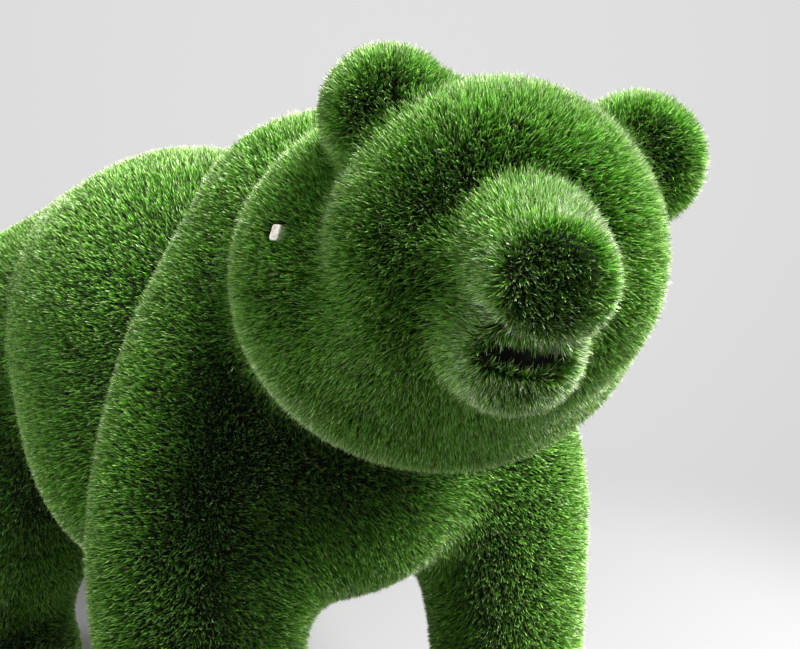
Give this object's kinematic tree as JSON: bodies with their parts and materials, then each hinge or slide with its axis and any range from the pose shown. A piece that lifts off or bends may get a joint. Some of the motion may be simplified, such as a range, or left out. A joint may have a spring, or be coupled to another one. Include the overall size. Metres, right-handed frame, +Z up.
{
  "type": "topiary bear",
  "caption": "Life-size bear figure clad all over in green artificial turf, standing on its feet with its head turned to its right, a topiary sculpture for gardens and displays.",
  "frame": {"origin": "middle of the bear's box on the floor, at the level of its soles", "axes": "+Z up, -Y the way the bear faces, -X to its right"},
  "size_m": [0.9156, 1.8666, 1.3831],
  "materials": {
    "turf": "artificial turf with upright blades",
    "tab": "satin"
  },
  "bodies": {
    "root": {"turf_bear": "turf", "neck_tab": "tab"}
  },
  "joints": []
}
